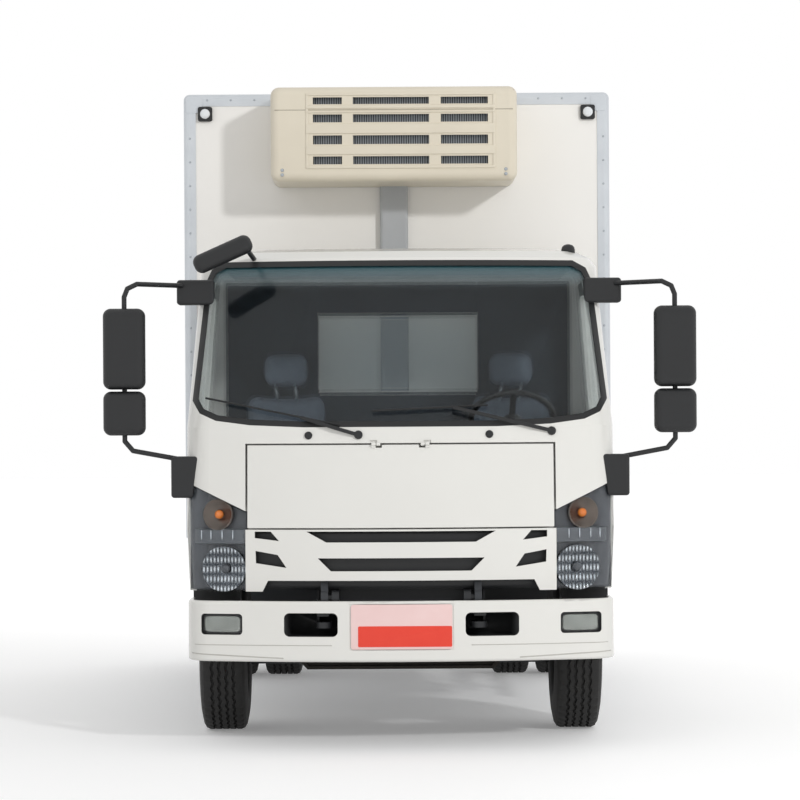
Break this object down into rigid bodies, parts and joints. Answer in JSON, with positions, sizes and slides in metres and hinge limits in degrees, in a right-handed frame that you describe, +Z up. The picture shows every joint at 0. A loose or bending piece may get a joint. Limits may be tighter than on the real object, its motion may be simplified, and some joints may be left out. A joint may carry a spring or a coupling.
{
  "type": "refrigerated truck",
  "caption": "Light cab-over truck with an insulated box body, a refrigeration unit on its front wall, a tilting cab, hinged doors and steered front wheels.",
  "frame": {"origin": "on the ground below the middle of the truck's length and width", "axes": "+Z up, -Y towards the front of the truck, +X towards its left side"},
  "size_m": [2.85, 5.9948, 3.2849],
  "materials": {
    "tyre_rubber": "matt",
    "wheel_paint": "semi-gloss",
    "cast_steel": "matt",
    "chassis_black": "satin",
    "tank_steel": "satin",
    "box_white": "semi-gloss",
    "edge_aluminium": "satin",
    "unit_cream": "satin",
    "coil_fins": "satin",
    "cover_grey": "satin",
    "body_white": "gloss",
    "black_plastic": "matt",
    "seal_rubber": "matt",
    "window_glass": "clear",
    "lamp_clear": "clear",
    "lamp_grey": "satin",
    "lamp_red": "gloss",
    "floor_grey": "matt",
    "dash_grey": "matt",
    "wheel_black": "satin",
    "seat_cloth": "woven"
  },
  "bodies": {
    "chassis": {"front_axle": "cast_steel", "rear_axle": "cast_steel", "engine_gearbox": "cast_steel", "leaf_springs": "chassis_black", "frame_rails": "chassis_black", "frame_crossmembers": "chassis_black", "propeller_shaft": "chassis_black", "battery_box": "chassis_black", "box_subframe": "chassis_black", "rear_underrun_bar": "chassis_black", "fuel_tank": "tank_steel", "exhaust_silencer": "tank_steel", "box_front_wall": "box_white", "box_side_walls": "box_white", "box_roof": "box_white", "box_edge_rails": "edge_aluminium", "box_rear_portal": "edge_aluminium", "box_floor": "edge_aluminium", "side_guards": "edge_aluminium", "fridge_housing": "unit_cream", "fridge_condenser": "coil_fins", "fridge_line_cover": "cover_grey", "front_bumper": "body_white", "rear_mudguards": "black_plastic", "clear_lamps": "lamp_clear", "rear_lamps": "lamp_red"},
    "cab": {"cab_floor": "floor_grey", "cab_front_panel": "body_white", "cab_sides": "body_white", "cab_roof": "body_white", "cab_back_wall": "body_white", "cab_glass": "window_glass", "windscreen_seal": "seal_rubber", "grille": "body_white", "headlamp_lenses": "lamp_clear", "headlamp_housings": "lamp_grey", "dashboard": "dash_grey", "seats": "seat_cloth", "mirrors": "black_plastic", "cab_steps": "black_plastic"},
    "front_lid": {"front_lid": "body_white"},
    "cab_door_left": {"cab_door_left": "body_white", "cab_door_glass_left": "window_glass"},
    "cab_door_right": {"cab_door_right": "body_white", "cab_door_glass_right": "window_glass"},
    "rear_door_left": {"rear_door_left": "box_white"},
    "rear_door_right": {"rear_door_right": "box_white"},
    "knuckle_left": {"knuckle_left": "cast_steel"},
    "knuckle_right": {"knuckle_right": "cast_steel"},
    "tie_rod": {"tie_rod": "chassis_black"},
    "wheel_front_left": {"tyre_front_left": "tyre_rubber", "rim_front_left": "wheel_paint"},
    "wheel_front_right": {"tyre_front_right": "tyre_rubber", "rim_front_right": "wheel_paint"},
    "wheel_rear_left": {"tyres_rear_left": "tyre_rubber", "rims_rear_left": "wheel_paint"},
    "wheel_rear_right": {"tyres_rear_right": "tyre_rubber", "rims_rear_right": "wheel_paint"},
    "steering_wheel": {"steering_wheel": "wheel_black"}
  },
  "joints": [
    {"name": "cab_tilt", "type": "hinge", "parent": "chassis", "child": "cab", "pos_m": [0, -2.9075, 0.715], "axis": [1, 0, 0], "range_deg": [0, 45]},
    {"name": "front_lid_hinge", "type": "hinge", "parent": "cab", "child": "front_lid", "pos_m": [0, -2.9015, 1.448], "axis": [-1, 0, 0], "range_deg": [0, 70]},
    {"name": "cab_door_left_hinge", "type": "hinge", "parent": "cab", "child": "cab_door_left", "pos_m": [1.018, -2.5625, 1.5], "axis": [0, 0, -1], "range_deg": [0, 70]},
    {"name": "cab_door_right_hinge", "type": "hinge", "parent": "cab", "child": "cab_door_right", "pos_m": [-1.018, -2.5625, 1.5], "axis": [0, 0, 1], "range_deg": [0, 70]},
    {"name": "rear_door_left_hinge", "type": "hinge", "parent": "chassis", "child": "rear_door_left", "pos_m": [1.151, 2.9795, 2.12], "axis": [0, 0, -1], "range_deg": [0, 270]},
    {"name": "rear_door_right_hinge", "type": "hinge", "parent": "chassis", "child": "rear_door_right", "pos_m": [-1.151, 2.9795, 2.12], "axis": [0, 0, 1], "range_deg": [0, 270]},
    {"name": "steer_left", "type": "hinge", "parent": "chassis", "child": "knuckle_left", "pos_m": [0.745, -1.8875, 0.425], "axis": [0, 0, 1], "range_deg": [-35, 35]},
    {"name": "steer_right", "type": "hinge", "parent": "chassis", "child": "knuckle_right", "pos_m": [-0.745, -1.8875, 0.425], "axis": [0, 0, 1], "range_deg": [-35, 35]},
    {"name": "tie_rod_pivot", "type": "hinge", "parent": "knuckle_left", "child": "tie_rod", "pos_m": [0.745, -1.7075, 0.33], "axis": [0, 0, 1], "range_deg": [-35, 35]},
    {"name": "wheel_front_left_spin", "type": "hinge", "parent": "knuckle_left", "child": "wheel_front_left", "pos_m": [0.8825, -1.8875, 0.425], "axis": [1, 0, 0], "continuous": true},
    {"name": "wheel_front_right_spin", "type": "hinge", "parent": "knuckle_right", "child": "wheel_front_right", "pos_m": [-0.8825, -1.8875, 0.425], "axis": [1, 0, 0], "continuous": true},
    {"name": "wheel_rear_left_spin", "type": "hinge", "parent": "chassis", "child": "wheel_rear_left", "pos_m": [0.825, 1.4725, 0.425], "axis": [1, 0, 0], "continuous": true},
    {"name": "wheel_rear_right_spin", "type": "hinge", "parent": "chassis", "child": "wheel_rear_right", "pos_m": [-0.825, 1.4725, 0.425], "axis": [1, 0, 0], "continuous": true},
    {"name": "steering_wheel_turn", "type": "hinge", "parent": "cab", "child": "steering_wheel", "pos_m": [0.56, -2.2075, 1.56], "axis": [0, 0.6371, 0.7708], "range_deg": [-560, 560]}
  ],
  "couplings": [
    {"joint": "steer_right", "follows": "steer_left", "ratio": 1},
    {"joint": "tie_rod_pivot", "follows": "steer_left", "ratio": -1},
    {"joint": "steering_wheel_turn", "follows": "steer_left", "ratio": 16}
  ]
}
